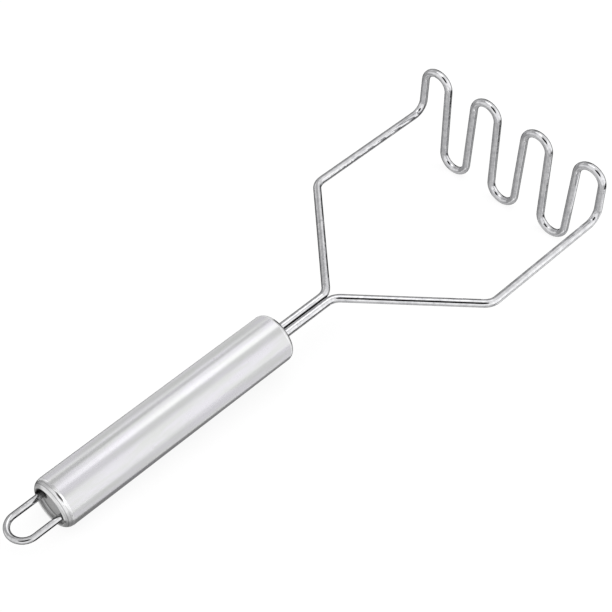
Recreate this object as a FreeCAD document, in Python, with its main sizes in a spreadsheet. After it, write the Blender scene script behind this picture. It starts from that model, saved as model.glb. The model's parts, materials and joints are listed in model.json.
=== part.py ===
"""Wire potato masher: a tube handle, one bent wire for frame and mashing face, and a hanging loop.

It is drawn level: the handle's axis along X, the centre of the front cap's face at the origin, the head
towards +X and the legs of the mashing face upright. The last step lays it down as it rests on a table, on
the lower bends of the wire and the rear edge of the handle, with the origin on the table under its middle.
"""
import FreeCAD
import Part
import Sketcher
import math
import os

Vec = FreeCAD.Vector
LEG_GAPS = 7        # gaps between the eight upright legs: the bends run top, bottom, ... top
CLOSE = 1e-6        # lengths that differ by less than this are equal

DRIVING_SIZES = {
    # wire of the frame and the mashing face, in millimetres and degrees
    "wire_dia": 3.65,
    "wire_gap": 0.06,           # between the two shank runs
    "shank_inset": 40.0,        # length of the shank runs inside the handle
    "fork_reach": 31.3,         # front face to the fork
    "elbow_reach": 76.4,        # front face to the elbows of the arms
    "mash_reach": 148.4,        # front face to the plane of the mashing face
    "leg_pitch": 14.75,
    "leg_lean": 1.3,            # the legs lean this far towards each other at every bend
    "top_rise": 25.6,           # handle axis to the wire's centre in the upper bends
    "bottom_drop": 23.7,        # and in the lower bends
    "fork_bend": 8.0,
    "elbow_bend": 7.5,
    "rise_bend": 6.0,
    # handle and its two turned caps
    "handle_dia": 22.0,
    "handle_length": 120.0,
    "tube_wall": 0.7,
    "seam_step": 0.08,          # the caps are this much lower than the tube
    "plug_length": 8.0,         # spigot of each cap inside the tube
    "plug_play": 0.05,
    "plug_wall": 1.5,
    "front_round": 2.5,
    "front_web": 2.5,
    "rear_round": 3.8,
    "rear_web": 3.0,
    "recess_rad": 8.2,
    "recess_depth": 2.3,
    "recess_fillet": 0.8,
    "lip_round": 0.5,
    # hanging loop
    "loop_dia": 2.7,
    "loop_half_width": 6.55,
    "loop_reach": 18.5,         # rear end of the handle to the wire's centre at the tip
    "loop_tail": 3.0,           # loop legs behind the rear web
    "hole_play": 0.05,
    # anchor disc and welds
    "disc_inset": 38.0,
    "disc_thick": 2.0,
    "weld_leg": 1.2,
    "weld_bevel": 0.96,
    "loop_weld_leg": 0.8,
    "loop_weld_tip": 0.16,      # what is left of the loop's weld at its thin end
    "cut_length": 32.0,         # of the pockets that go right through, half to each side of their sketch
}

# expressions that several pieces share
TUBE_BORE = "dims.handle_dia / 2 - dims.tube_wall"
CAP_RAD = "dims.handle_dia / 2 - dims.seam_step"
SPIGOT_RAD = "%s - dims.plug_play" % TUBE_BORE
SPIGOT_BORE = "%s - dims.plug_wall" % SPIGOT_RAD
CREST_RAD = "dims.recess_rad + dims.lip_round"
RUN_OFFSET = "(dims.wire_dia + dims.wire_gap) / 2"
RECESS_FLOOR = "-dims.handle_length + dims.recess_depth"
WEB_BACK = "%s + dims.rear_web" % RECESS_FLOOR
REAR_SEAM = ("-dims.handle_length + sqrt(dims.rear_round ^ 2"
             " - (dims.rear_round + %s - (%s)) ^ 2)" % (CREST_RAD, CAP_RAD))


class Sheet:
    """The spreadsheet of driving sizes, and the numbers that expressions over it give."""

    def __init__(self, doc):
        self.cells = doc.addObject("Spreadsheet::Sheet", "dims")
        for row, (alias, value) in enumerate(DRIVING_SIZES.items(), start=1):
            self.cells.set("A%d" % row, alias)
            self.cells.set("B%d" % row, str(value))
            self.cells.setAlias("B%d" % row, alias)
        doc.recompute()

    def value(self, expression):
        result = self.cells.evalExpression(expression)
        return float(getattr(result, "Value", result))


# ---------------------------------------------------------------- bodies and sketches

def new_body(doc, name):
    body = doc.addObject("PartDesign::Body", name)
    body.Label = name
    return body


def new_sketch(body, name, role, offset=None):
    """A sketch on one of the body's own origin planes, moved along the normal by an expression."""
    plane = next(f for f in body.Origin.OriginFeatures if f.Role == role)
    sketch = body.newObject("Sketcher::SketchObject", name)
    sketch.AttachmentSupport = (plane, "")
    sketch.MapMode = "FlatFace"
    if offset:
        sketch.setExpression("AttachmentOffset.Base.z", offset)
    return sketch


def fix_point(sketch, sheet, vertex, place):
    """Tie one vertex to two expressions, measured from the sketch's origin."""
    for kind, expression, axis in (("DistanceX", place[0], -2), ("DistanceY", place[1], -1)):
        value = sheet.value(expression)
        if abs(value) < CLOSE:
            sketch.addConstraint(Sketcher.Constraint("PointOnObject", *vertex, axis))
            continue
        row = sketch.addConstraint(Sketcher.Constraint(kind, -1, 1, *vertex, value))
        sketch.setExpression("Constraints[%d]" % row, expression)


def draw_circle(sketch, sheet, centre, radius):
    circle = Part.Circle(Vec(sheet.value(centre[0]), sheet.value(centre[1]), 0), Vec(0, 0, 1),
                         sheet.value(radius))
    geo = sketch.addGeometry(circle)
    fix_point(sketch, sheet, (geo, 3), centre)
    row = sketch.addConstraint(Sketcher.Constraint("Radius", geo, circle.Radius))
    sketch.setExpression("Constraints[%d]" % row, radius)


def draw_arc(sketch, sheet, start, end, radius, bulge):
    """Arc from start to end that bulges to the left or the right; returns its first and last vertex."""
    size = sheet.value(radius)
    chord = end - start
    left = Vec(-chord.y, chord.x, 0).normalize()
    away = math.sqrt(max(size ** 2 - (chord.Length / 2) ** 2, 0))
    centre = (start + end) * 0.5 + left * (-away if bulge == "left" else away)
    first, last = (end, start) if bulge == "left" else (start, end)
    angles = [math.atan2(p.y - centre.y, p.x - centre.x) for p in (first, last)]
    if angles[1] < angles[0]:
        angles[1] += 2 * math.pi
    geo = sketch.addGeometry(Part.ArcOfCircle(Part.Circle(centre, Vec(0, 0, 1), size), *angles))
    return ((geo, 2), (geo, 1)) if bulge == "left" else ((geo, 1), (geo, 2))


def draw_outline(sketch, sheet, corners, closed=True):
    """Outline through corners. A corner is (across, up), or (across, up, radius, bulge) where the side that
    starts there is an arc. A half turn is held by its tangent, any other arc by its radius."""
    places = [Vec(sheet.value(c[0]), sheet.value(c[1]), 0) for c in corners]
    count = len(corners)
    sides = []
    for i in range(count if closed else count - 1):
        start, end = places[i], places[(i + 1) % count]
        if len(corners[i]) == 2:
            geo = sketch.addGeometry(Part.LineSegment(start, end))
            sides.append(((geo, 1), (geo, 2), None))
            continue
        vertices = draw_arc(sketch, sheet, start, end, *corners[i][2:])
        half_turn = abs((end - start).Length - 2 * sheet.value(corners[i][2])) < CLOSE
        sides.append(vertices + ("half turn" if half_turn else corners[i][2],))
    for i, (first, last, radius) in enumerate(sides):
        if i > 0 or closed:
            join = "Tangent" if radius == "half turn" else "Coincident"
            sketch.addConstraint(Sketcher.Constraint(join, *sides[i - 1][1], *first))
        fix_point(sketch, sheet, first, corners[i])
        if radius and radius != "half turn":
            row = sketch.addConstraint(Sketcher.Constraint("Radius", first[0], sheet.value(radius)))
            sketch.setExpression("Constraints[%d]" % row, radius)
    if not closed:
        fix_point(sketch, sheet, sides[-1][1], corners[-1])


def revolve(body, sketch):
    """Turn the sketch about its own horizontal axis, which is the handle's axis."""
    turned = body.newObject("PartDesign::Revolution", "Turned")
    turned.Profile = sketch
    turned.ReferenceAxis = (sketch, ["H_Axis"])
    turned.Angle = 360
    return turned


def cut_through(body, sketch):
    """Pocket both ways from the sketch."""
    pocket = body.newObject("PartDesign::Pocket", sketch.Name + "_cut")
    pocket.Profile = sketch
    pocket.SideType = "Symmetric"
    pocket.setExpression("Length", "dims.cut_length")
    return pocket


def pad(body, sketch, length, backward=False):
    padded = body.newObject("PartDesign::Pad", sketch.Name + "_pad")
    padded.Profile = sketch
    padded.Reversed = backward
    padded.setExpression("Length", length)
    return padded


def obround(extra):
    """Corners of the slot that holds both shank runs side by side, wider than the wire by extra all round."""
    half, rad = RUN_OFFSET, "(dims.wire_dia / 2 + %s)" % extra
    return [("-%s" % half, "-%s" % rad), (half, "-%s" % rad, rad, "right"),
            (half, rad), ("-%s" % half, rad, rad, "right")]


# ---------------------------------------------------------------- handle

def make_handle_tube(doc, sheet):
    body = new_body(doc, "handle_tube")
    wall = new_sketch(body, "TubeWall", "XY_Plane")
    bore, skin = TUBE_BORE, "dims.handle_dia / 2"
    front = "-dims.front_round"
    draw_outline(wall, sheet, [(REAR_SEAM, bore), (front, bore), (front, skin), (REAR_SEAM, skin)])
    revolve(body, wall)
    return body


def make_front_cap(doc, sheet):
    """Turned plug with a rounded edge, a spigot inside the tube and one slot for both shank runs."""
    body = new_body(doc, "front_cap")
    wall = new_sketch(body, "CapWall", "XY_Plane")
    seat = "-dims.front_round"
    tip = "%s - dims.plug_length" % seat
    draw_outline(wall, sheet, [
        ("0", "0"),
        ("0", "%s - dims.front_round" % CAP_RAD, "dims.front_round", "right"),
        (seat, CAP_RAD),
        (seat, SPIGOT_RAD),
        (tip, SPIGOT_RAD),
        (tip, SPIGOT_BORE),
        ("-dims.front_web", SPIGOT_BORE),
        ("-dims.front_web", "0"),
    ])
    revolve(body, wall)
    slot = new_sketch(body, "ShankSlot", "YZ_Plane")
    draw_outline(slot, sheet, obround("dims.hole_play"))
    cut_through(body, slot)
    return body


def make_rear_cap(doc, sheet):
    """Turned plug with a rounded shoulder, a shallow round recess and two holes for the loop's legs."""
    body = new_body(doc, "rear_cap")
    wall = new_sketch(body, "CapWall", "XY_Plane")
    tip = "%s + dims.plug_length" % REAR_SEAM
    draw_outline(wall, sheet, [
        (RECESS_FLOOR, "0"),
        (RECESS_FLOOR, "dims.recess_rad - dims.recess_fillet", "dims.recess_fillet", "right"),
        ("%s - dims.recess_fillet" % RECESS_FLOOR, "dims.recess_rad"),
        ("-dims.handle_length + dims.lip_round", "dims.recess_rad", "dims.lip_round", "left"),
        ("-dims.handle_length", CREST_RAD, "dims.rear_round", "left"),
        (REAR_SEAM, CAP_RAD),
        (REAR_SEAM, SPIGOT_RAD),
        (tip, SPIGOT_RAD),
        (tip, SPIGOT_BORE),
        (WEB_BACK, SPIGOT_BORE),
        (WEB_BACK, "0"),
    ])
    revolve(body, wall)
    holes = new_sketch(body, "LegHoles", "YZ_Plane", RECESS_FLOOR)
    for centre in ("dims.loop_half_width", "-dims.loop_half_width"):
        draw_circle(holes, sheet, (centre, "0"), "dims.loop_dia / 2 + dims.hole_play")
    cut_through(body, holes)
    return body


def make_hang_loop(doc, sheet):
    """One wire bent to a U in the plane of the frame, its legs through the rear web."""
    body = new_body(doc, "hang_loop")
    end = "%s + dims.loop_tail" % WEB_BACK
    bend = "-dims.handle_length - dims.loop_reach + dims.loop_half_width"
    half = "dims.loop_half_width"
    route = new_sketch(body, "LoopRoute", "XY_Plane")
    draw_outline(route, sheet, [(end, half), (bend, half, half, "right"), (bend, "-" + half), (end, "-" + half)],
                 closed=False)
    section = new_sketch(body, "LoopSection", "YZ_Plane", end)
    draw_circle(section, sheet, (half, "0"), "dims.loop_dia / 2")
    pipe = body.newObject("PartDesign::AdditivePipe", "BentLoop")
    pipe.Profile = section
    pipe.Spine = (route, [])
    return body


# ---------------------------------------------------------------- inside the handle

def make_anchor_disc(doc, sheet):
    body = new_body(doc, "anchor_disc")
    face = new_sketch(body, "DiscFace", "YZ_Plane", "-dims.disc_inset")
    draw_circle(face, sheet, ("0", "0"), SPIGOT_RAD)
    draw_outline(face, sheet, obround("dims.hole_play"))
    pad(body, face, "dims.disc_thick")
    return body


def rear_rim(shape):
    """Names of the edges around the outside of the rearmost face."""
    rear = min(shape.Faces, key=lambda face: face.CenterOfMass.x)
    rim = rear.OuterWire.Edges
    return ["Edge%d" % number for number, edge in enumerate(shape.Edges, start=1)
            if any(edge.isSame(other) for other in rim)]


def make_wire_weld(doc, sheet, name, wall):
    """Weld collar around both shank runs, on the rear side of a wall and bevelled away from it."""
    body = new_body(doc, name)
    ring = new_sketch(body, "Collar", "YZ_Plane", wall)
    draw_outline(ring, sheet, obround("dims.weld_leg"))
    draw_outline(ring, sheet, obround("0"))
    collar = pad(body, ring, "dims.weld_leg", backward=True)
    doc.recompute()
    bevel = body.newObject("PartDesign::Chamfer", "Bevel")
    bevel.Base = (collar, rear_rim(collar.Shape))
    bevel.setExpression("Size", "dims.weld_bevel")
    return body


def make_loop_weld(doc, name, side):
    """Bevelled bead around one leg of the loop, on the web's inner side."""
    bead = doc.addObject("Part::Cone", name + "_bead")
    bead.setExpression("Radius1", "dims.loop_dia / 2 + dims.loop_weld_leg")
    bead.setExpression("Radius2", "dims.loop_dia / 2 + dims.loop_weld_tip")
    bead.setExpression("Height", "dims.loop_weld_leg")
    leg = doc.addObject("Part::Cylinder", name + "_leg")
    leg.setExpression("Radius", "dims.loop_dia / 2")
    leg.setExpression("Height", "dims.loop_weld_leg")
    for solid in (bead, leg):
        solid.Placement = FreeCAD.Placement(Vec(), FreeCAD.Rotation(Vec(0, 1, 0), 90))
        solid.setExpression("Placement.Base.x", WEB_BACK)
        solid.setExpression("Placement.Base.y", "%d * dims.loop_half_width" % side)
    weld = doc.addObject("Part::Cut", name)
    weld.Label = name
    weld.Base = bead
    weld.Tool = leg
    return weld


# ---------------------------------------------------------------- bent wire

def bend(before, corner, after, radius):
    """Arc of a bend in the wire: its first point, its middle and its last point."""
    back = (before - corner).normalize()
    ahead = (after - corner).normalize()
    half = back.getAngle(ahead) / 2
    inward = (back + ahead).normalize()
    centre = corner + inward * (radius / math.sin(half))
    tangent = radius / math.tan(half)
    return corner + back * tangent, centre - inward * radius, corner + ahead * tangent


def half_frame(side, first_leg, size):
    """Arcs of one arm, from the handle to the foot of its leg: fork, elbow and the bend up into the leg."""
    fork = size("dims.fork_reach")
    elbow = size("dims.elbow_reach")
    mash = size("dims.mash_reach")
    run_y = side * size(RUN_OFFSET)
    foot = first_leg.y + side * first_leg.z * math.tan(math.radians(size("dims.leg_lean")))
    shank_end = Vec(-size("dims.shank_inset"), run_y, 0)
    stops = [shank_end, Vec(fork, run_y, 0), Vec(elbow, foot, 0), Vec(mash, foot, 0), first_leg]
    radii = [size("dims.fork_bend"), size("dims.elbow_bend"), size("dims.rise_bend")]
    arcs = [bend(*stops[i:i + 3], radii[i]) for i in range(3)]
    return shank_end, arcs


def wave_arcs(size):
    """Arcs of the mashing face, from the left leg to the right one."""
    pitch = size("dims.leg_pitch")
    lean = math.radians(size("dims.leg_lean"))
    middle = (size("dims.top_rise") - size("dims.bottom_drop")) / 2
    reach = (size("dims.top_rise") + size("dims.bottom_drop")) / 2
    radius = (pitch / 2 * math.cos(lean) - reach * math.sin(lean)) / (1 - math.sin(lean))
    arcs = []
    for gap in range(LEG_GAPS):
        up = 1 if gap % 2 == 0 else -1
        centre = Vec(size("dims.mash_reach"), ((LEG_GAPS - 1) / 2 - gap) * pitch, middle + up * (reach - radius))
        across = Vec(0, radius * math.cos(lean), 0)
        rise = Vec(0, 0, up * radius * math.sin(lean))
        arcs.append((centre + across + rise, centre + Vec(0, 0, up * radius), centre - across + rise))
    return arcs


def wire_route(sheet):
    """Straight runs and tangent arcs from one end of the wire to the other."""
    size = sheet.value
    wave = wave_arcs(size)
    left_end, left_arcs = half_frame(1, wave[0][0], size)
    right_end, right_arcs = half_frame(-1, wave[-1][2], size)
    arcs = left_arcs + wave + [arc[::-1] for arc in reversed(right_arcs)]
    edges = []
    here = left_end
    for first, middle, last in arcs:
        edges.append(Part.LineSegment(here, first).toShape())
        edges.append(Part.Arc(first, middle, last).toShape())
        here = last
    edges.append(Part.LineSegment(here, right_end).toShape())
    return Part.Wire(edges)


def make_masher_wire(doc, sheet):
    route = doc.addObject("Part::Feature", "WireRoute")
    route.Shape = wire_route(sheet)
    section = doc.addObject("Part::Circle", "WireSection")
    section.setExpression("Radius", "dims.wire_dia / 2")
    section.Placement = FreeCAD.Placement(Vec(), FreeCAD.Rotation(Vec(0, 1, 0), 90))
    section.setExpression("Placement.Base.x", "-dims.shank_inset")
    section.setExpression("Placement.Base.y", RUN_OFFSET)
    wire = doc.addObject("Part::Sweep", "masher_wire")
    wire.Label = "masher_wire"
    wire.Sections = [section]
    wire.Spine = (route, [])
    wire.Solid = True
    wire.Frenet = False
    return wire


# ---------------------------------------------------------------- lying on the table

def rest_placement(size):
    """Lays the level tool down on its lower wire bends and the tube's rear edge, over the origin."""
    handle_rad = size("dims.handle_dia / 2")
    wire_rad = size("dims.wire_dia / 2")
    reach = size("dims.mash_reach")
    drop = size("dims.bottom_drop")
    span = reach - size(REAR_SEAM)
    step = drop - handle_rad
    tilt = math.atan2(step, span) + math.asin(wire_rad / math.hypot(span, step))
    front = reach * math.cos(tilt) + drop * math.sin(tilt) + wire_rad
    rear = -size("dims.handle_length + dims.loop_reach") * math.cos(tilt) - size("dims.loop_dia / 2")
    low = reach * math.sin(tilt) - drop * math.cos(tilt) - wire_rad
    turn = FreeCAD.Rotation(Vec(0, -1, 0), math.degrees(tilt))
    return FreeCAD.Placement(Vec(-(front + rear) / 2, 0, -low), turn)


def check_and_write(doc, pieces):
    doc.recompute()
    for item in doc.Objects:
        if "Invalid" in item.State or "Error" in item.State:
            raise RuntimeError("%s failed: %s" % (item.Name, item.State))
    for piece in pieces:
        shape = piece.Shape
        if shape.isNull() or not shape.isValid() or len(shape.Solids) != 1:
            raise RuntimeError("%s has no valid single solid" % piece.Label)
    os.makedirs("parts", exist_ok=True)
    for piece in pieces:
        piece.Shape.exportStep("parts/%s.step" % piece.Label)
        box = piece.Shape.optimalBoundingBox()
        print("%-18s %9.1f mm3   x %7.1f %7.1f   y %6.1f %6.1f   z %6.1f %6.1f" % (
            piece.Label, piece.Shape.Volume, box.XMin, box.XMax, box.YMin, box.YMax, box.ZMin, box.ZMax))


def main():
    doc = FreeCAD.newDocument("wire_masher")
    sheet = Sheet(doc)
    pieces = [
        make_masher_wire(doc, sheet),
        make_handle_tube(doc, sheet),
        make_front_cap(doc, sheet),
        make_rear_cap(doc, sheet),
        make_hang_loop(doc, sheet),
        make_anchor_disc(doc, sheet),
        make_wire_weld(doc, sheet, "front_wire_weld", "-dims.front_web"),
        make_wire_weld(doc, sheet, "anchor_wire_weld", "-dims.disc_inset"),
        make_loop_weld(doc, "loop_weld_left", 1),
        make_loop_weld(doc, "loop_weld_right", -1),
    ]
    doc.recompute()
    rest = rest_placement(sheet.value)
    for piece in pieces:
        piece.Placement = rest
    check_and_write(doc, pieces)
    wire = pieces[0].Shape
    section = math.pi * sheet.value("dims.wire_dia / 2") ** 2
    print("wire length %.1f mm, volume over section %.1f mm" % (wire_route(sheet).Length, wire.Volume / section))


main()
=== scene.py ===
"""Looks of the wire potato masher: steel materials on the CAD nodes, a pale floor and soft studio light."""

import json
import math

import bpy
from mathutils import Matrix, Vector


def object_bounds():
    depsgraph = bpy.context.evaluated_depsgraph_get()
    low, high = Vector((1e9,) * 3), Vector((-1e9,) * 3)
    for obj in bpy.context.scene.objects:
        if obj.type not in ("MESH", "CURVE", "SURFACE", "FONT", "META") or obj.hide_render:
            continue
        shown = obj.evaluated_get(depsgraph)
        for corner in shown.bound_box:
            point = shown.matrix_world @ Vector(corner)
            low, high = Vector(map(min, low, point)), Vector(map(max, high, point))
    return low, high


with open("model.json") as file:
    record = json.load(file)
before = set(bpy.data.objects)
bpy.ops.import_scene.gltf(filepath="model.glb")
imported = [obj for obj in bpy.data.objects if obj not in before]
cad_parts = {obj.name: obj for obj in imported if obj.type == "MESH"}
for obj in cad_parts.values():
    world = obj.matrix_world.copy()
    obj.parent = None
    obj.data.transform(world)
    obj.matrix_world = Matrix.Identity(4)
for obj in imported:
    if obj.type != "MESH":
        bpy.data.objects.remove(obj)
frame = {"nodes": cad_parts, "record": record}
cad_low, cad_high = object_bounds()


def direction(azimuth, elevation):
    """Unit vector; azimuth from +X towards +Y, in degrees."""
    a, e = math.radians(azimuth), math.radians(elevation)
    return Vector((math.cos(a) * math.cos(e), math.sin(a) * math.cos(e), math.sin(e)))


# ---------------------------------------------------------------- camera, metres and degrees

SENSOR = 36.0                           # mm, both ways: the picture is square
LENS = 89.34                            # mm
CLIP = (0.01, 20.0)
CAMERA_AZIMUTH = -138.05                # where the camera stands, seen from the object
CAMERA_ELEVATION = 46.03
CAMERA_ROLL = 3.695
CAMERA_DISTANCE = 0.6242
AIM_OFFSET = Vector((0.0068, -0.0038, 0.0024))  # middle of the picture, from the middle of the object


def make_camera():
    data = bpy.data.cameras.new("camera")
    data.sensor_fit = "HORIZONTAL"
    data.sensor_width = SENSOR
    data.lens = LENS
    data.clip_start, data.clip_end = CLIP
    camera = bpy.data.objects.new("camera", data)
    bpy.context.scene.collection.objects.link(camera)
    back = direction(CAMERA_AZIMUTH, CAMERA_ELEVATION)
    aim = (cad_low + cad_high) / 2 + AIM_OFFSET
    turn = (-back).to_track_quat("-Z", "Y").to_matrix() @ Matrix.Rotation(math.radians(CAMERA_ROLL), 3, "Z")
    camera.matrix_world = Matrix.Translation(aim + back * CAMERA_DISTANCE) @ turn.to_4x4()
    bpy.context.scene.camera = camera


# ---------------------------------------------------------------- node helpers

class Tree:
    """A node tree with short calls for the nodes used here. A value may be a number or a socket."""

    def __init__(self, tree):
        self.nodes, self.links = tree.nodes, tree.links
        self.nodes.clear()

    def add(self, kind, **settings):
        node = self.nodes.new(kind)
        for name, value in settings.items():
            setattr(node, name, value)
        return node

    def feed(self, socket, value):
        if isinstance(value, bpy.types.NodeSocket):
            self.links.new(value, socket)
        else:
            socket.default_value = value

    def math(self, operation, *values):
        node = self.add("ShaderNodeMath", operation=operation)
        for socket, value in zip(node.inputs, values):
            self.feed(socket, value)
        return node.outputs[0]

    def vector(self, operation, *values):
        node = self.add("ShaderNodeVectorMath", operation=operation)
        for socket, value in zip(node.inputs, values):
            self.feed(socket, value)
        return node.outputs["Value" if operation in ("DOT_PRODUCT", "LENGTH") else "Vector"]

    def ramp(self, value, start, end, first, last):
        node = self.add("ShaderNodeMapRange", interpolation_type="SMOOTHSTEP")
        for name, setting in (("Value", value), ("From Min", start), ("From Max", end),
                              ("To Min", first), ("To Max", last)):
            self.feed(node.inputs[name], setting)
        return node.outputs["Result"]

    def rise(self, value, start, end):
        """0 where the value is up to start, 1 from end on, smooth between them."""
        return self.ramp(value, start, end, 0.0, 1.0)

    def fall(self, value, start, end):
        """1 where the value is up to start, 0 from end on, smooth between them."""
        return self.ramp(value, start, end, 1.0, 0.0)

    def mix(self, factor, a, b):
        """a where factor is 0, b where it is 1."""
        node = self.add("ShaderNodeMix", data_type="FLOAT")
        for socket, value in zip((node.inputs[0], node.inputs[2], node.inputs[3]), (factor, a, b)):
            self.feed(socket, value)
        return node.outputs[0]


# ---------------------------------------------------------------- studio

# Soft regions of light and dark around the object, as (azimuth, elevation, radius, softness, radiance).
# Each is laid over the ones before it.
STUDIO = (
    (88, 35, 40, 16, 0.72),         # dimmer wall on the left
    (-137, 12, 34, 20, 1.45),       # pale wall behind the camera
    (-64, 17, 33, 14, 1.65),        # softbox on the right
    (43, -45, 72, 14, 0.50),        # unlit side, past the object
    (43, -16, 47, 10, 0.04),        # black card along its top
    (0, -90, 32, 8, 0.05),          # and one below it
    (-56, -36, 26, 8, 0.04),        # and one on the right
    (-137, 48, 22.5, 4, 0.01),      # the camera's own dark shape
)
SKY, GROUND = 1.25, 0.8
HORIZON = (-0.5, 0.1)               # ground turns to sky between these heights on the unit sphere
PAPER = 0.8                         # every value above is for walls of this whiteness


def make_world():
    """The studio as the steel reflects it. The camera itself sees plain white behind the object."""
    world = bpy.data.worlds.new("studio")
    world.use_nodes = True
    bpy.context.scene.world = world
    t = Tree(world.node_tree)
    way = t.add("ShaderNodeTexCoord").outputs["Generated"]
    split = t.add("ShaderNodeSeparateXYZ")
    t.feed(split.inputs[0], way)
    light = t.mix(t.rise(split.outputs["Z"], *HORIZON), GROUND, SKY)
    for azimuth, elevation, radius, softness, radiance in STUDIO:
        cosine = t.vector("DOT_PRODUCT", way, direction(azimuth, elevation))
        inner = math.cos(math.radians(radius - softness / 2))
        outer = math.cos(math.radians(radius + softness / 2))
        light = t.mix(t.rise(cosine, outer, inner), light, radiance)
    seen = t.add("ShaderNodeLightPath").outputs["Is Camera Ray"]
    background = t.add("ShaderNodeBackground")
    background.inputs["Color"].default_value = (PAPER, PAPER, PAPER, 1)
    t.feed(background.inputs["Strength"], t.mix(seen, light, 1 / PAPER))
    t.links.new(background.outputs[0], t.add("ShaderNodeOutputWorld").inputs["Surface"])


SOFT_LIGHT_SIDE, SOFT_LIGHT_HEIGHT, SOFT_LIGHT_POWER = 1.6, 1.2, 14.0


def make_soft_light():
    """Wide lamp overhead that lights the floor evenly; it does not show in the steel."""
    data = bpy.data.lights.new("overhead_light", "AREA")
    data.shape = "SQUARE"
    data.size = SOFT_LIGHT_SIDE
    data.energy = SOFT_LIGHT_POWER
    lamp = bpy.data.objects.new("overhead_light", data)
    lamp.location = (0, 0, SOFT_LIGHT_HEIGHT)
    lamp.visible_glossy = False
    lamp.visible_camera = False
    bpy.context.scene.collection.objects.link(lamp)


def area_lamp(name, size, radiance):
    data = bpy.data.lights.new(name, "AREA")
    data.shape = "RECTANGLE"
    data.size, data.size_y = size
    data.energy = radiance * math.pi * size[0] * size[1]
    lamp = bpy.data.objects.new(name, data)
    lamp.visible_camera = False
    bpy.context.scene.collection.objects.link(lamp)
    return lamp


# A softbox over the handle, short enough for the head's wires to reflect what is beyond it
SOFTBOX_PLACE = (0.13, 0.14, 0.47)
SOFTBOX_SIZE = (0.29, 0.36)
SOFTBOX_RADIANCE = 0.75


def make_softbox():
    lamp = area_lamp("softbox_overhead", SOFTBOX_SIZE, SOFTBOX_RADIANCE)
    lamp.location = SOFTBOX_PLACE
    lamp.visible_diffuse = False


# Lamps that only the named nodes see, as (azimuth, elevation, width, height, radiance, nodes): they
# keep the black cards, which draw the wires' edges, off the satin handle and the legs
CAPS = ("front_cap", "rear_cap")
HANDLE = ("handle_tube",) + CAPS
WIRE = ("masher_wire",)
FILLS = (
    (62, 2, 1.2, 1.35, 0.82, HANDLE),
    (58, 45, 0.6, 0.30, 0.25, HANDLE),
    (-56, -35, 1.1, 0.88, 0.92, HANDLE),
    (-137, 48, 0.9, 0.9, 1.2, CAPS),
    (-56, -44, 1.0, 0.34, 0.42, WIRE),
    (62, 5, 1.0, 0.9, 0.32, WIRE),
    (0, -90, 1.2, 1.2, 0.22, HANDLE),
    (0, -90, 1.2, 1.2, 0.50, WIRE),
)
FILL_DISTANCE = 1.0


def link_to(lamp, nodes):
    """Let the lamp light the named nodes only."""
    lit = bpy.data.collections.new("lit_by_" + lamp.name)
    for node in nodes:
        lit.objects.link(frame["nodes"][node])
    lamp.light_linking.receiver_collection = lit


def make_fills():
    for number, (azimuth, elevation, width, height, radiance, nodes) in enumerate(FILLS, start=1):
        lamp = area_lamp("fill_%d" % number, (width, height), radiance)
        way = direction(azimuth, elevation)
        turn = way.to_track_quat("Z", "Y").to_matrix().to_4x4()
        lamp.matrix_world = Matrix.Translation(way * FILL_DISTANCE) @ turn
        link_to(lamp, nodes)


# A gridded strip light low beside the wire's right run, for that run's bright lower edge
STRIP_AIM = Vector((0.105, -0.0516, 0.021))
STRIP_AZIMUTH, STRIP_ELEVATION = -53, -32
STRIP_DISTANCE = 0.05
STRIP_SIZE = (0.10, 0.030)              # along the run, and across it
STRIP_SPREAD = 60                       # degrees
STRIP_RADIANCE = 1.3                    # in the middle of the spread


def make_strip():
    """Its grid keeps the light off the legs. Cycles brightens a lamp as its spread narrows, hence gain."""
    half = math.radians(STRIP_SPREAD / 2)
    gain = math.tan(half) / (math.tan(half) - half)
    lamp = area_lamp("strip", STRIP_SIZE, STRIP_RADIANCE / gain)
    lamp.data.spread = 2 * half
    way = direction(STRIP_AZIMUTH, STRIP_ELEVATION)
    along = (Vector((1, 0, 0)) - way * way.x).normalized()
    turn = Matrix((along, way.cross(along), way)).transposed().to_4x4()
    lamp.matrix_world = Matrix.Translation(STRIP_AIM + way * STRIP_DISTANCE) @ turn
    link_to(lamp, WIRE)


FLOOR_SIDE = 6.0
FLOOR_COLOUR = (0.9, 0.9, 0.9, 1)
FLOOR_GLOW = 0.88                       # share of its light that is its own, as on a light table


def make_floor():
    """Pale floor, seen from above only. Reflections look through it to the studio's own lower half."""
    mesh = bpy.data.meshes.new("floor")
    half = FLOOR_SIDE / 2
    corners = [(-half, -half, 0), (half, -half, 0), (half, half, 0), (-half, half, 0)]
    mesh.from_pydata(corners, [], [(0, 1, 2, 3)])
    floor = bpy.data.objects.new("floor", mesh)
    bpy.context.scene.collection.objects.link(floor)
    material = bpy.data.materials.new("pale_floor")
    material.use_nodes = True
    t = Tree(material.node_tree)
    diffuse = t.add("ShaderNodeBsdfDiffuse")
    diffuse.inputs["Color"].default_value = FLOOR_COLOUR
    glow = t.add("ShaderNodeEmission")
    blend = t.add("ShaderNodeMixShader")
    blend.inputs["Fac"].default_value = FLOOR_GLOW
    t.links.new(diffuse.outputs[0], blend.inputs[1])
    t.links.new(glow.outputs[0], blend.inputs[2])
    one_sided = t.add("ShaderNodeMixShader")
    t.links.new(t.add("ShaderNodeNewGeometry").outputs["Backfacing"], one_sided.inputs["Fac"])
    t.links.new(blend.outputs[0], one_sided.inputs[1])
    t.links.new(t.add("ShaderNodeBsdfTransparent").outputs[0], one_sided.inputs[2])
    t.links.new(one_sided.outputs[0], t.add("ShaderNodeOutputMaterial").inputs["Surface"])
    mesh.materials.append(material)
    floor.visible_glossy = False
    floor.visible_shadow = False


# ---------------------------------------------------------------- steel

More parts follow.
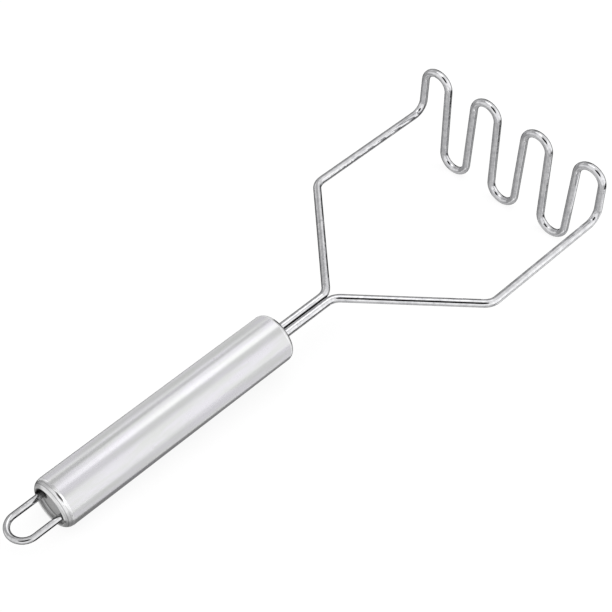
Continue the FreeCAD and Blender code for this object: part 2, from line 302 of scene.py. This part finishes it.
# The handle's own directions and sizes, from the grip mount
GRIP = next(mount for mount in frame["record"]["mounts"] if mount["name"] == "grip")
HANDLE_MIDDLE = Vector(GRIP["pos_m"])
HANDLE_TILT = math.atan2(-GRIP["axis"][2], -GRIP["axis"][0])
HANDLE_RADIUS = GRIP["dims"]["r_mm"] / 1000
TUBE_HALF = GRIP["dims"]["length_mm"] / 2000
TO_LEVEL = Matrix.Rotation(HANDLE_TILT, 3, "Y")


def level_points(node):
    """The node's vertices with X along the handle from its middle, and Z square to it."""
    return [TO_LEVEL @ (vertex.co - HANDLE_MIDDLE) for vertex in node.data.vertices]


class Steel(Tree):
    """A bare metal material: a principled shader with bumps laid one over the other."""

    def __init__(self, name):
        self.material = bpy.data.materials.new(name)
        self.material.use_nodes = True
        super().__init__(self.material.node_tree)
        self.shader = self.add("ShaderNodeBsdfPrincipled")
        self.shader.inputs["Metallic"].default_value = 1.0
        self.links.new(self.shader.outputs[0], self.add("ShaderNodeOutputMaterial").inputs["Surface"])
        self.place = self.add("ShaderNodeTexCoord").outputs["Object"]
        self.normal = self.add("ShaderNodeNewGeometry").outputs["Normal"]
        self.last_bump = None

    def level(self):
        """Where the point is, with X along the handle from its middle."""
        mapping = self.add("ShaderNodeMapping", vector_type="POINT")
        self.feed(mapping.inputs["Vector"], self.place)
        mapping.inputs["Rotation"].default_value = (0, HANDLE_TILT, 0)
        mapping.inputs["Location"].default_value = -(TO_LEVEL @ HANDLE_MIDDLE)
        return mapping.outputs[0]

    def parts(self, vector):
        split = self.add("ShaderNodeSeparateXYZ")
        self.feed(split.inputs[0], vector)
        return split.outputs

    def stretch(self, vector, x, y, z):
        """For noise: about so many cells in a metre along each axis."""
        return self.vector("MULTIPLY", vector, (x, y, z))

    def noise(self, vector, scale=1.0, detail=3.0, roughness=0.6, distortion=0.0):
        node = self.add("ShaderNodeTexNoise")
        for name, value in (("Vector", vector), ("Scale", scale), ("Detail", detail),
                            ("Roughness", roughness), ("Distortion", distortion)):
            self.feed(node.inputs[name], value)
        return node.outputs["Fac"]

    def part_of(self, mask, share):
        """The mask, weakened."""
        return self.math("MULTIPLY", mask, share)

    def tint(self, factor, a, b):
        """Colour a where factor is 0, colour b where it is 1."""
        node = self.add("ShaderNodeMix", data_type="RGBA")
        self.feed(node.inputs[0], factor)
        for socket, value in zip((node.inputs[6], node.inputs[7]), (a, b)):
            self.feed(socket, value if isinstance(value, bpy.types.NodeSocket) else (*value, 1))
        return node.outputs[2]

    def bump(self, height, depth):
        """Adds relief of this depth in metres where height runs from 0 to 1."""
        node = self.add("ShaderNodeBump")
        node.inputs["Strength"].default_value = 1.0
        node.inputs["Distance"].default_value = depth
        self.feed(node.inputs["Height"], height)
        if self.last_bump:
            self.feed(node.inputs["Normal"], self.last_bump)
        self.last_bump = node.outputs[0]

    def finish(self, colour, roughness):
        self.feed(self.shader.inputs["Base Color"], colour)
        self.feed(self.shader.inputs["Roughness"], roughness)
        self.feed(self.shader.inputs["Normal"], self.last_bump)
        return self.material


# Near black: painted shade in the crevice between the shank runs and around the loop's legs in the recess,
# and the rear cap's groove line, which is also painted shade on one side
SHADE_AND_GRIME = (0.045, 0.043, 0.042)
WIRE_BRIGHT, WIRE_DULL = (0.78, 0.78, 0.79), (0.57, 0.57, 0.59)
# The loop's wire: the polished wire's colours darkened, as painted shade
LOOP_SHADED_BRIGHT, LOOP_SHADED_DULL = (0.68, 0.68, 0.69), (0.54, 0.54, 0.55)
SCUFFED = (0.40, 0.40, 0.41)
WAVE_DEPTH, SCRATCH_DEPTH = 0.00006, 0.000003


def wire_finish(s, bright, dull):
    """Polished drawn wire: lines along it, slight waves, and a few scuffs. Returns colour and roughness."""
    # the normal does not change along a straight run, so noise by the normal makes lines along it
    around = s.vector("MULTIPLY_ADD", s.normal, (7, 7, 7), s.stretch(s.place, 60, 60, 60))
    lines = s.noise(around)
    blotches = s.noise(s.place, scale=420.0)
    streaks = s.rise(s.math("MULTIPLY", s.math("ADD", lines, blotches), 0.5), 0.38, 0.62)
    scuffs = s.rise(s.noise(s.place, scale=850.0, detail=4.0, roughness=0.7, distortion=0.6), 0.52, 0.68)
    s.bump(s.noise(s.place, scale=330.0, detail=2.0, roughness=0.5), WAVE_DEPTH)
    s.bump(s.noise(s.place, scale=2600.0, detail=2.0), SCRATCH_DEPTH)
    colour = s.tint(streaks, bright, dull)
    colour = s.tint(s.part_of(scuffs, 0.6), colour, SCUFFED)
    roughness = s.math("ADD", s.math("MULTIPLY_ADD", streaks, 0.04, 0.02), s.part_of(scuffs, 0.1))
    return colour, roughness


SHANK_LENGTH = 0.033                    # from the end of the tube to where the two runs part
FORK_X = TUBE_HALF + SHANK_LENGTH
CREVICE_HALF = 0.00045                  # half the width of the dark line between the runs
CREVICE_SHADE_ROUGHNESS = 0.6


def polished_wire():
    """The masher's wire. Where its two shank runs touch, a dark line is painted as the shade in the crevice
    between them.
    """
    s = Steel("polished_wire")
    colour, roughness = wire_finish(s, WIRE_BRIGHT, WIRE_DULL)
    x, y, _ = s.parts(s.level())
    between = s.fall(s.math("ABSOLUTE", y), CREVICE_HALF * 0.6, CREVICE_HALF * 1.4)
    before_fork = s.fall(x, FORK_X, FORK_X + CREVICE_HALF * 4)
    # painted shade: a dark line in the crevice where the two shank runs touch
    crevice_shade = s.math("MULTIPLY", between, before_fork)
    return s.finish(s.tint(crevice_shade, colour, SHADE_AND_GRIME), s.mix(crevice_shade, roughness, CREVICE_SHADE_ROUGHNESS))


RECESS_RADIUS = 0.0082                  # of the round recess in the rear cap
REAR_POINTS = level_points(frame["nodes"]["rear_cap"])
CREST = min(point.x for point in REAR_POINTS)
RECESS_FLOOR = min(p.x for p in REAR_POINTS if math.hypot(p.y, p.z) < RECESS_RADIUS * 0.93)
RECESS_DEPTH = RECESS_FLOOR - CREST
LEG_SHADE_X = CREST - 0.0006, CREST + 0.0012     # no painted shade before the first, darkest from the second on
LEG_SHADE_ROUGHNESS = 0.5


def loop_wire():
    """As the other wire, in a darker copy of its colours as painted shade, with painted shade on its legs
    down in the cap's recess.
    """
    s = Steel("loop_wire")
    colour, roughness = wire_finish(s, LOOP_SHADED_BRIGHT, LOOP_SHADED_DULL)
    x = s.parts(s.level())["X"]
    # painted shade on the legs where they go down into the cap's recess
    leg_shade_in_recess = s.part_of(s.rise(x, *LEG_SHADE_X), 0.85)
    return s.finish(s.tint(leg_shade_in_recess, colour, SHADE_AND_GRIME), s.mix(leg_shade_in_recess, roughness, LEG_SHADE_ROUGHNESS))


TUBE_WARM, TUBE_COOL = (0.60, 0.605, 0.60), (0.635, 0.625, 0.66)
TUBE_SCRATCH = (0.72, 0.72, 0.73)
RING_DEPTH, CLOUD_DEPTH = 0.0000012, 0.000012


def satin_tube():
    """Centreless-ground tube: fine rings around it, blurring reflections along it, in soft cool patches."""
    s = Steel("satin_tube")
    level = s.level()
    rings = s.noise(s.stretch(level, 9000, 500, 500), detail=2.0)
    bands = s.noise(s.stretch(level, 700, 60, 60))
    clouds = s.noise(s.stretch(level, 38, 260, 260))
    scratches = s.noise(s.stretch(level, 2500, 220, 220), detail=4.0, roughness=0.75, distortion=0.4)
    s.bump(rings, RING_DEPTH)
    s.bump(clouds, CLOUD_DEPTH)
    colour = s.tint(s.rise(clouds, 0.35, 0.65), TUBE_WARM, TUBE_COOL)
    colour = s.tint(s.part_of(s.rise(scratches, 0.62, 0.72), 0.35), colour, TUBE_SCRATCH)
    roughness = s.math("MULTIPLY_ADD", bands, 0.06, s.math("MULTIPLY_ADD", clouds, 0.08, 0.19))
    s.shader.inputs["Anisotropic"].default_value = 0.5
    s.shader.inputs["Anisotropic Rotation"].default_value = 0.25
    tangent = s.add("ShaderNodeTangent", direction_type="RADIAL", axis="X")
    s.links.new(tangent.outputs[0], s.shader.inputs["Tangent"])
    return s.finish(colour, roughness)


# The rear cap along the handle, from its middle. Behind the seam every X is smaller
SEAM = -TUBE_HALF                       # where the tube meets the cap
GROOVE = SEAM - 0.0013                  # a turned groove just behind it
RING_REFLECTION = SEAM - 0.0024             # a thin dark ring on the shoulder, a painted reflection
RING_REFLECTION_EDGE = 0.00010, 0.00022     # from its middle
RIM = SEAM - 0.0032, SEAM - 0.0030      # the polished rim, its colour lifted as a painted highlight: full behind the first, gone at the second
# The groove is a thin grey line all round; on one side it is widened and blackened as painted shade
GROOVE_SIDE = (-0.45, 0.89)             # Y and Z of that side
GROOVE_SHADED_WIDTH = 0.0008                   # its width there
GROOVE_CLEAN = 0.00016                  # and elsewhere
GROOVE_CLEAN_SHADE = 0.35
SHADED_SIDE_FROM = 0.93, 0.975                # where that side starts, in handle radii towards it
# The recess, in its own radii
RECESS_WALL = 1.005, 1.03               # its grey ends here
MOUTH_EDGE = 1.025, 1.06                # and the painted shade around the loop's legs here
# From the handle's axis
LEG_OFFSET = 0.00655                    # to the loop's legs
FILLET_SHADE = 0.0067, 0.0074           # where the recess's floor curves up into its wall
LEG_SHADE = 0.0020, 0.0027               # from a leg's axis: full to the first distance, gone at the second

CAP_BRIGHT, CAP_DULL = (0.76, 0.76, 0.765), (0.68, 0.68, 0.69)
RIM_HIGHLIGHT_COLOUR, RIM_ROUGHNESS = (0.92, 0.92, 0.92), 0.10
RECESS_COLOUR, RECESS_ROUGHNESS = (0.66, 0.66, 0.66), 0.5
SHADE = (0.25, 0.25, 0.25)
TURNING_DEPTH, DENT_DEPTH = 0.0000015, 0.00001


def recess_mask(s, x, radius, edge):
    """1 in the recess, out to the edge, which is in radii of the recess."""
    near_axis = s.fall(radius, RECESS_RADIUS * edge[0], RECESS_RADIUS * edge[1])
    behind = s.fall(x, RECESS_FLOOR + RECESS_DEPTH * 0.3, RECESS_FLOOR + RECESS_DEPTH * 0.6)
    return s.math("MULTIPLY", near_axis, behind)


def leg_shade_mask(s, x, y, z, radius):
    """1 around the loop's legs, in the recess, where shade is painted."""
    beside = s.math("SUBTRACT", s.math("ABSOLUTE", y), LEG_OFFSET)
    squares = s.math("ADD", s.math("MULTIPLY", beside, beside), s.math("MULTIPLY", z, z))
    near_leg = s.fall(s.math("SQRT", squares), *LEG_SHADE)
    return s.math("MULTIPLY", recess_mask(s, x, radius, MOUTH_EDGE), near_leg)


def groove_mask(s, x, y, z):
    """The groove: 1 on its side of painted shade, less elsewhere."""
    towards = s.math("ADD", s.math("MULTIPLY", y, GROOVE_SIDE[0]), s.math("MULTIPLY", z, GROOVE_SIDE[1]))
    shaded_side = s.rise(s.math("DIVIDE", towards, HANDLE_RADIUS), *SHADED_SIDE_FROM)
    half_width = s.mix(shaded_side, GROOVE_CLEAN / 2, GROOVE_SHADED_WIDTH / 2)
    from_middle = s.math("DIVIDE", s.math("ABSOLUTE", s.math("SUBTRACT", x, GROOVE)), half_width)
    return s.math("MULTIPLY", s.fall(from_middle, 0.8, 1.3), s.mix(shaded_side, GROOVE_CLEAN_SHADE, 1.0))


def turned_cap():
    """Satin as the tube is. The rear cap has a polished rim with a painted highlight, a thin dark ring that
    is a painted reflection, a groove with painted shade on one side, and a grey recess with painted shade
    at its fillet and around the loop's legs.
    """
    s = Steel("turned_cap")
    level = s.level()
    x, y, z = s.parts(level)
    radius = s.vector("LENGTH", s.stretch(level, 0, 1, 1))
    turning = s.add("ShaderNodeCombineXYZ")
    s.feed(turning.inputs["X"], s.math("ADD", radius, x))
    s.bump(s.noise(turning.outputs[0], scale=6500.0, detail=2.0), TURNING_DEPTH)
    s.bump(s.noise(level, scale=260.0, detail=2.0, roughness=0.5), DENT_DEPTH)

    patches = s.noise(level, scale=900.0)
    rim = s.fall(x, *RIM)
    in_recess = recess_mask(s, x, radius, RECESS_WALL)
    at_fillet = s.math("MULTIPLY", in_recess, s.rise(radius, *FILLET_SHADE))
    ring_reflection = s.fall(s.math("ABSOLUTE", s.math("SUBTRACT", x, RING_REFLECTION)), *RING_REFLECTION_EDGE)

    colour = s.tint(s.rise(patches, 0.3, 0.7), CAP_BRIGHT, CAP_DULL)
    # the polished rim: smoother, and lifted in colour as a painted highlight
    colour = s.tint(rim, colour, RIM_HIGHLIGHT_COLOUR)
    colour = s.tint(in_recess, colour, RECESS_COLOUR)
    colour = s.tint(s.part_of(at_fillet, 0.55), colour, SHADE)
    # painted reflection: a thin dark ring on the shoulder
    colour = s.tint(s.part_of(ring_reflection, 0.6), colour, SHADE)
    # painted shade around the loop's legs where they enter the recess
    colour = s.tint(s.part_of(leg_shade_mask(s, x, y, z, radius), 0.9), colour, SHADE_AND_GRIME)
    # the groove: a thin dark line all round, with painted shade widening it on one side
    colour = s.tint(groove_mask(s, x, y, z), colour, SHADE_AND_GRIME)
    satin = s.math("MULTIPLY_ADD", patches, 0.06, 0.24)
    return s.finish(colour, s.mix(in_recess, s.mix(rim, satin, RIM_ROUGHNESS), RECESS_ROUGHNESS))


SHEET_DARK, SHEET_LIGHT = (0.50, 0.50, 0.50), (0.62, 0.62, 0.61)
ROLLING_DEPTH = 0.000004


def inner_steel():
    """Plain sheet: rolling lines one way and dull patches."""
    s = Steel("inner_steel")
    rolling = s.noise(s.stretch(s.place, 300, 300, 4200))
    s.bump(rolling, ROLLING_DEPTH)
    colour = s.tint(s.noise(s.place, scale=240.0), SHEET_DARK, SHEET_LIGHT)
    return s.finish(colour, s.math("MULTIPLY_ADD", rolling, 0.15, 0.33))


WELD_STRAW, WELD_BLUE = (0.50, 0.45, 0.36), (0.36, 0.38, 0.45)
RIPPLE_DEPTH = 0.00012


def weld_metal():
    """Dull bead with ripples, tinted straw and blue by the heat."""
    s = Steel("weld_metal")
    ripples = s.noise(s.place, scale=2200.0, detail=2.0, roughness=0.5, distortion=0.8)
    heat = s.noise(s.place, scale=500.0, detail=1.0, roughness=0.5)
    s.bump(ripples, RIPPLE_DEPTH)
    colour = s.tint(s.rise(heat, 0.35, 0.65), WELD_STRAW, WELD_BLUE)
    return s.finish(colour, s.math("MULTIPLY_ADD", ripples, 0.2, 0.35))


FINISHES = {
    "polished_wire": polished_wire,
    "satin_tube": satin_tube,
    "turned_cap": turned_cap,
    "loop_wire": loop_wire,
    "inner_steel": inner_steel,
    "weld_metal": weld_metal,
}


def paint_nodes():
    made = {slot: make() for slot, make in FINISHES.items()}
    for subpart in frame["record"]["subparts"]:
        materials = frame["nodes"][subpart["node"]].data.materials
        materials.clear()
        materials.append(made[subpart["material_slot"]])


paint_nodes()
make_camera()
make_world()
make_soft_light()
make_softbox()
make_fills()
make_strip()
make_floor()
scene = bpy.context.scene
scene.view_settings.view_transform = "Standard"
scene.view_settings.look = "None"
